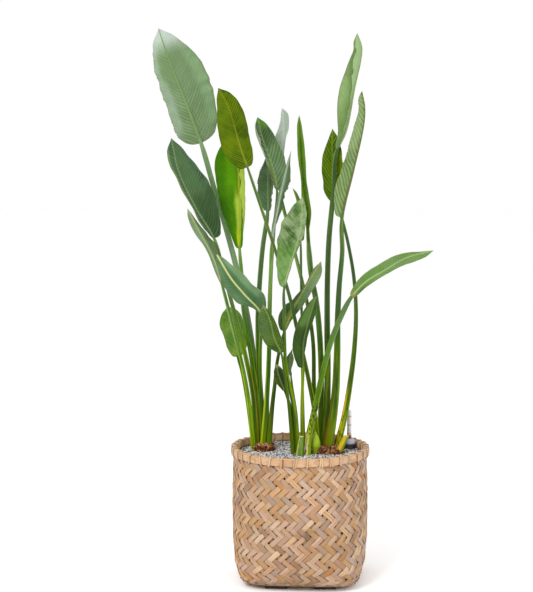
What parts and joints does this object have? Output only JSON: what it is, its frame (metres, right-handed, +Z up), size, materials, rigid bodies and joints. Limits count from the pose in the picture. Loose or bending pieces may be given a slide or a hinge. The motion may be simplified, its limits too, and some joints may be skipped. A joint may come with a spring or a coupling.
{
  "type": "potted bird of paradise",
  "caption": "Tall bird of paradise plant on long upright stalks, rooted under white gravel in a round woven bamboo basket with a lashed rim, a liner and a water gauge.",
  "frame": {"origin": "on the floor, under the middle of the whole plant's bounding box", "axes": "+Z up along the basket's axis, -Y towards the front that the leaves face, +X to the right seen from the front"},
  "size_m": [0.8792, 0.4438, 1.7537],
  "materials": {
    "leaf_pale": "satin, waxy",
    "leaf_olive": "satin, waxy",
    "leaf_dark": "satin, waxy",
    "leaf_bright": "satin, waxy",
    "leaf_green": "satin, waxy",
    "stub": "matte, dry at the cut",
    "bamboo": "satin, split bamboo",
    "hoop": "satin, split bamboo",
    "cane": "satin",
    "feet": "matte",
    "liner": "matte",
    "pebbles": "matte, fired clay",
    "gravel": "matte, dry stone chips",
    "coir": "matte, fibrous",
    "gauge_clear": "satin, milky",
    "gauge_float": "gloss",
    "gauge_dark": "matte",
    "gauge_cap": "satin"
  },
  "bodies": {
    "root": {"leaf_left_top": "leaf_pale", "leaf_left_upright": "leaf_olive", "leaf_left_wide": "leaf_dark", "leaf_left_low": "leaf_pale", "leaf_left_bright": "leaf_bright", "leaf_left_small": "leaf_dark", "leaf_centre_folded": "leaf_green", "leaf_centre_pale": "leaf_pale", "leaf_centre_torn": "leaf_green", "leaf_centre_striped": "leaf_pale", "leaf_centre_front": "leaf_green", "leaf_centre_rolled": "leaf_green", "leaf_centre_slim": "leaf_dark", "leaf_front_slanted": "leaf_dark", "leaf_front_cupped": "leaf_dark", "leaf_front_low": "leaf_green", "leaf_front_shortest": "leaf_dark", "leaf_left_front": "leaf_green", "leaf_front_young": "leaf_dark", "leaf_right_top": "leaf_green", "leaf_right_tall": "leaf_pale", "leaf_right_green": "leaf_olive", "leaf_right_arching": "leaf_green", "basket": "bamboo", "rim_outer_hoop": "hoop", "rim_inner_hoop": "hoop", "rim_lashing": "cane", "foot_left": "feet", "foot_right": "feet", "liner": "liner", "clay_pebbles": "pebbles", "gravel": "gravel", "coir_left": "coir", "coir_right": "coir", "gauge_tube": "gauge_clear", "gauge_float": "gauge_float", "gauge_collar": "gauge_dark", "gauge_dome": "gauge_cap", "stub_green": "stub", "stub_yellow": "stub", "bud": "leaf_olive"}
  },
  "joints": []
}
